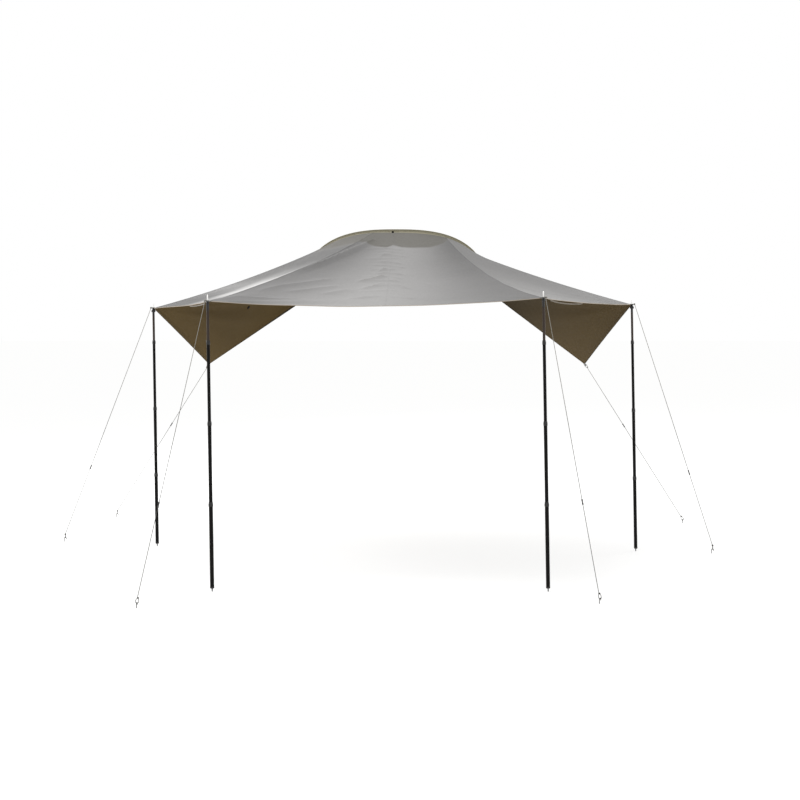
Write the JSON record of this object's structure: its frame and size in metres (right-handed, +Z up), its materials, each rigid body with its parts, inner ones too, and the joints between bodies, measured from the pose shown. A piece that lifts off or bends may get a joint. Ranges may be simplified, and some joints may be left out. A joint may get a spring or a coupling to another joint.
{
  "type": "vehicle side awning",
  "caption": "Ridged cloth canopy that fastens to an arch at its rear, with two rear wings, telescopic twist-lock poles, guy lines with runners and hook pegs.",
  "frame": {"origin": "on the ground below the middle of the box round the canopy and the poles", "axes": "+Z up, +Y from the front poles towards the arch that carries the rear hem, +X to the right seen from the front"},
  "size_m": [5.4638, 4.7925, 2.824],
  "materials": {
    "canopy_cloth": "fine woven coated cloth, mid grey",
    "wing_cloth": "fine woven coated cloth, olive brown",
    "edging": "woven edging tape",
    "eyelet": "satin",
    "pole_tube": "satin black",
    "pole_lock": "matte black",
    "guy_rope": "braided cord, pale grey",
    "runner": "matte",
    "toggle": "matte black",
    "peg": "bright zinc"
  },
  "bodies": {
    "root": {"left_wing": "wing_cloth", "left_canopy_panel": "canopy_cloth", "front_canopy_panel": "canopy_cloth", "right_canopy_panel": "canopy_cloth", "right_wing": "wing_cloth", "arch_strip": "edging", "left_wing_toggle": "toggle", "wing_left_eyelet": "eyelet", "rear_left_eyelet": "eyelet", "front_left_eyelet": "eyelet", "front_right_eyelet": "eyelet", "rear_right_eyelet": "eyelet", "wing_right_eyelet": "eyelet", "wing_left_guy_line": "guy_rope", "rear_left_guy_line": "guy_rope", "front_left_guy_line": "guy_rope", "front_right_guy_line": "guy_rope", "rear_right_guy_line": "guy_rope", "wing_right_guy_line": "guy_rope", "wing_left_peg": "peg", "rear_left_peg": "peg", "front_left_peg": "peg", "front_right_peg": "peg", "rear_right_peg": "peg", "wing_right_peg": "peg"},
    "rear_left_pole_top_tube": {"rear_left_pole_top_tube": "pole_tube"},
    "rear_left_pole_upper_tube": {"rear_left_pole_upper_tube": "pole_tube"},
    "rear_left_pole_lower_tube": {"rear_left_pole_lower_tube": "pole_tube"},
    "rear_left_pole_foot_tube": {"rear_left_pole_foot_tube": "pole_tube"},
    "rear_left_pole_upper_lock": {"rear_left_pole_upper_lock": "pole_lock"},
    "rear_left_pole_lower_lock": {"rear_left_pole_lower_lock": "pole_lock"},
    "rear_left_pole_foot_lock": {"rear_left_pole_foot_lock": "pole_lock"},
    "front_left_pole_top_tube": {"front_left_pole_top_tube": "pole_tube"},
    "front_left_pole_upper_tube": {"front_left_pole_upper_tube": "pole_tube"},
    "front_left_pole_lower_tube": {"front_left_pole_lower_tube": "pole_tube"},
    "front_left_pole_foot_tube": {"front_left_pole_foot_tube": "pole_tube"},
    "front_left_pole_upper_lock": {"front_left_pole_upper_lock": "pole_lock"},
    "front_left_pole_lower_lock": {"front_left_pole_lower_lock": "pole_lock"},
    "front_left_pole_foot_lock": {"front_left_pole_foot_lock": "pole_lock"},
    "front_right_pole_top_tube": {"front_right_pole_top_tube": "pole_tube"},
    "front_right_pole_upper_tube": {"front_right_pole_upper_tube": "pole_tube"},
    "front_right_pole_lower_tube": {"front_right_pole_lower_tube": "pole_tube"},
    "front_right_pole_foot_tube": {"front_right_pole_foot_tube": "pole_tube"},
    "front_right_pole_upper_lock": {"front_right_pole_upper_lock": "pole_lock"},
    "front_right_pole_lower_lock": {"front_right_pole_lower_lock": "pole_lock"},
    "front_right_pole_foot_lock": {"front_right_pole_foot_lock": "pole_lock"},
    "rear_right_pole_top_tube": {"rear_right_pole_top_tube": "pole_tube"},
    "rear_right_pole_upper_tube": {"rear_right_pole_upper_tube": "pole_tube"},
    "rear_right_pole_lower_tube": {"rear_right_pole_lower_tube": "pole_tube"},
    "rear_right_pole_foot_tube": {"rear_right_pole_foot_tube": "pole_tube"},
    "rear_right_pole_upper_lock": {"rear_right_pole_upper_lock": "pole_lock"},
    "rear_right_pole_lower_lock": {"rear_right_pole_lower_lock": "pole_lock"},
    "rear_right_pole_foot_lock": {"rear_right_pole_foot_lock": "pole_lock"},
    "wing_left_guy_runner": {"wing_left_guy_runner": "runner"},
    "rear_left_guy_runner": {"rear_left_guy_runner": "runner"},
    "front_left_guy_runner": {"front_left_guy_runner": "runner"},
    "front_right_guy_runner": {"front_right_guy_runner": "runner"},
    "rear_right_guy_runner": {"rear_right_guy_runner": "runner"},
    "wing_right_guy_runner": {"wing_right_guy_runner": "runner"}
  },
  "joints": [
    {"name": "rear_left_pole_lean", "type": "hinge", "parent": "root", "child": "rear_left_pole_top_tube", "pos_m": [-1.97807, -0.17215, 1.96079], "axis": [0.3035, 0.9528, 0.005], "range_deg": [-7, 7]},
    {"name": "rear_left_pole_upper_slide", "type": "slide", "parent": "rear_left_pole_top_tube", "child": "rear_left_pole_upper_tube", "axis": [-0.0163, 0, 0.9999], "range_m": [0, 0.22]},
    {"name": "rear_left_pole_lower_slide", "type": "slide", "parent": "rear_left_pole_upper_tube", "child": "rear_left_pole_lower_tube", "axis": [-0.0163, 0, 0.9999], "range_m": [0, 0.5]},
    {"name": "rear_left_pole_foot_slide", "type": "slide", "parent": "rear_left_pole_lower_tube", "child": "rear_left_pole_foot_tube", "axis": [-0.0163, 0, 0.9999], "range_m": [0, 0.49]},
    {"name": "rear_left_pole_upper_lock_twist", "type": "hinge", "parent": "rear_left_pole_upper_tube", "child": "rear_left_pole_upper_lock", "pos_m": [-1.97807, -0.17215, 1.96079], "axis": [-0.0163, 0, 0.9999], "range_deg": [0, 90]},
    {"name": "rear_left_pole_lower_lock_twist", "type": "hinge", "parent": "rear_left_pole_lower_tube", "child": "rear_left_pole_lower_lock", "pos_m": [-1.97807, -0.17215, 1.96079], "axis": [-0.0163, 0, 0.9999], "range_deg": [0, 90]},
    {"name": "rear_left_pole_foot_lock_twist", "type": "hinge", "parent": "rear_left_pole_foot_tube", "child": "rear_left_pole_foot_lock", "pos_m": [-1.97807, -0.17215, 1.96079], "axis": [-0.0163, 0, 0.9999], "range_deg": [0, 90]},
    {"name": "front_left_pole_lean", "type": "hinge", "parent": "root", "child": "front_left_pole_top_tube", "pos_m": [-1.17507, -2.11315, 1.96079], "axis": [-0.8352, 0.5498, -0.0136], "range_deg": [-7, 7]},
    {"name": "front_left_pole_upper_slide", "type": "slide", "parent": "front_left_pole_top_tube", "child": "front_left_pole_upper_tube", "axis": [-0.0163, 0, 0.9999], "range_m": [0, 0.22]},
    {"name": "front_left_pole_lower_slide", "type": "slide", "parent": "front_left_pole_upper_tube", "child": "front_left_pole_lower_tube", "axis": [-0.0163, 0, 0.9999], "range_m": [0, 0.5]},
    {"name": "front_left_pole_foot_slide", "type": "slide", "parent": "front_left_pole_lower_tube", "child": "front_left_pole_foot_tube", "axis": [-0.0163, 0, 0.9999], "range_m": [0, 0.49]},
    {"name": "front_left_pole_upper_lock_twist", "type": "hinge", "parent": "front_left_pole_upper_tube", "child": "front_left_pole_upper_lock", "pos_m": [-1.17507, -2.11315, 1.96079], "axis": [-0.0163, 0, 0.9999], "range_deg": [0, 90]},
    {"name": "front_left_pole_lower_lock_twist", "type": "hinge", "parent": "front_left_pole_lower_tube", "child": "front_left_pole_lower_lock", "pos_m": [-1.17507, -2.11315, 1.96079], "axis": [-0.0163, 0, 0.9999], "range_deg": [0, 90]},
    {"name": "front_left_pole_foot_lock_twist", "type": "hinge", "parent": "front_left_pole_foot_tube", "child": "front_left_pole_foot_lock", "pos_m": [-1.17507, -2.11315, 1.96079], "axis": [-0.0163, 0, 0.9999], "range_deg": [0, 90]},
    {"name": "front_right_pole_lean", "type": "hinge", "parent": "root", "child": "front_right_pole_top_tube", "pos_m": [1.10893, -2.11315, 1.98379], "axis": [-0.7632, -0.646, -0.0123], "range_deg": [-7, 7]},
    {"name": "front_right_pole_upper_slide", "type": "slide", "parent": "front_right_pole_top_tube", "child": "front_right_pole_upper_tube", "axis": [-0.0161, 0, 0.9999], "range_m": [0, 0.22]},
    {"name": "front_right_pole_lower_slide", "type": "slide", "parent": "front_right_pole_upper_tube", "child": "front_right_pole_lower_tube", "axis": [-0.0161, 0, 0.9999], "range_m": [0, 0.5]},
    {"name": "front_right_pole_foot_slide", "type": "slide", "parent": "front_right_pole_lower_tube", "child": "front_right_pole_foot_tube", "axis": [-0.0161, 0, 0.9999], "range_m": [0, 0.49]},
    {"name": "front_right_pole_upper_lock_twist", "type": "hinge", "parent": "front_right_pole_upper_tube", "child": "front_right_pole_upper_lock", "pos_m": [1.10893, -2.11315, 1.98379], "axis": [-0.0161, 0, 0.9999], "range_deg": [0, 90]},
    {"name": "front_right_pole_lower_lock_twist", "type": "hinge", "parent": "front_right_pole_lower_tube", "child": "front_right_pole_lower_lock", "pos_m": [1.10893, -2.11315, 1.98379], "axis": [-0.0161, 0, 0.9999], "range_deg": [0, 90]},
    {"name": "front_right_pole_foot_lock_twist", "type": "hinge", "parent": "front_right_pole_foot_tube", "child": "front_right_pole_foot_lock", "pos_m": [1.10893, -2.11315, 1.98379], "axis": [-0.0161, 0, 0.9999], "range_deg": [0, 90]},
    {"name": "rear_right_pole_lean", "type": "hinge", "parent": "root", "child": "rear_right_pole_top_tube", "pos_m": [1.95193, -0.42515, 1.98379], "axis": [-0.1569, -0.9876, -0.0025], "range_deg": [-7, 7]},
    {"name": "rear_right_pole_upper_slide", "type": "slide", "parent": "rear_right_pole_top_tube", "child": "rear_right_pole_upper_tube", "axis": [-0.0161, 0, 0.9999], "range_m": [0, 0.22]},
    {"name": "rear_right_pole_lower_slide", "type": "slide", "parent": "rear_right_pole_upper_tube", "child": "rear_right_pole_lower_tube", "axis": [-0.0161, 0, 0.9999], "range_m": [0, 0.5]},
    {"name": "rear_right_pole_foot_slide", "type": "slide", "parent": "rear_right_pole_lower_tube", "child": "rear_right_pole_foot_tube", "axis": [-0.0161, 0, 0.9999], "range_m": [0, 0.49]},
    {"name": "rear_right_pole_upper_lock_twist", "type": "hinge", "parent": "rear_right_pole_upper_tube", "child": "rear_right_pole_upper_lock", "pos_m": [1.95193, -0.42515, 1.98379], "axis": [-0.0161, 0, 0.9999], "range_deg": [0, 90]},
    {"name": "rear_right_pole_lower_lock_twist", "type": "hinge", "parent": "rear_right_pole_lower_tube", "child": "rear_right_pole_lower_lock", "pos_m": [1.95193, -0.42515, 1.98379], "axis": [-0.0161, 0, 0.9999], "range_deg": [0, 90]},
    {"name": "rear_right_pole_foot_lock_twist", "type": "hinge", "parent": "rear_right_pole_foot_tube", "child": "rear_right_pole_foot_lock", "pos_m": [1.95193, -0.42515, 1.98379], "axis": [-0.0161, 0, 0.9999], "range_deg": [0, 90]},
    {"name": "wing_left_guy_runner_slide", "type": "slide", "parent": "root", "child": "wing_left_guy_runner", "axis": [0.5442, -0.2016, 0.8144], "range_m": [-0.3, 0.3]},
    {"name": "rear_left_guy_runner_slide", "type": "slide", "parent": "root", "child": "rear_left_guy_runner", "axis": [0.3763, -0.1176, 0.919], "range_m": [-0.3, 0.3]},
    {"name": "front_left_guy_runner_slide", "type": "slide", "parent": "root", "child": "front_left_guy_runner", "axis": [0.1672, 0.2581, 0.9516], "range_m": [-0.3, 0.3]},
    {"name": "front_right_guy_runner_slide", "type": "slide", "parent": "root", "child": "front_right_guy_runner", "axis": [-0.1588, 0.1876, 0.9693], "range_m": [-0.3, 0.3]},
    {"name": "rear_right_guy_runner_slide", "type": "slide", "parent": "root", "child": "rear_right_guy_runner", "axis": [-0.3006, 0.0449, 0.9527], "range_m": [-0.3, 0.3]},
    {"name": "wing_right_guy_runner_slide", "type": "slide", "parent": "root", "child": "wing_right_guy_runner", "axis": [-0.5306, 0.0269, 0.8472], "range_m": [-0.3, 0.3]}
  ]
}
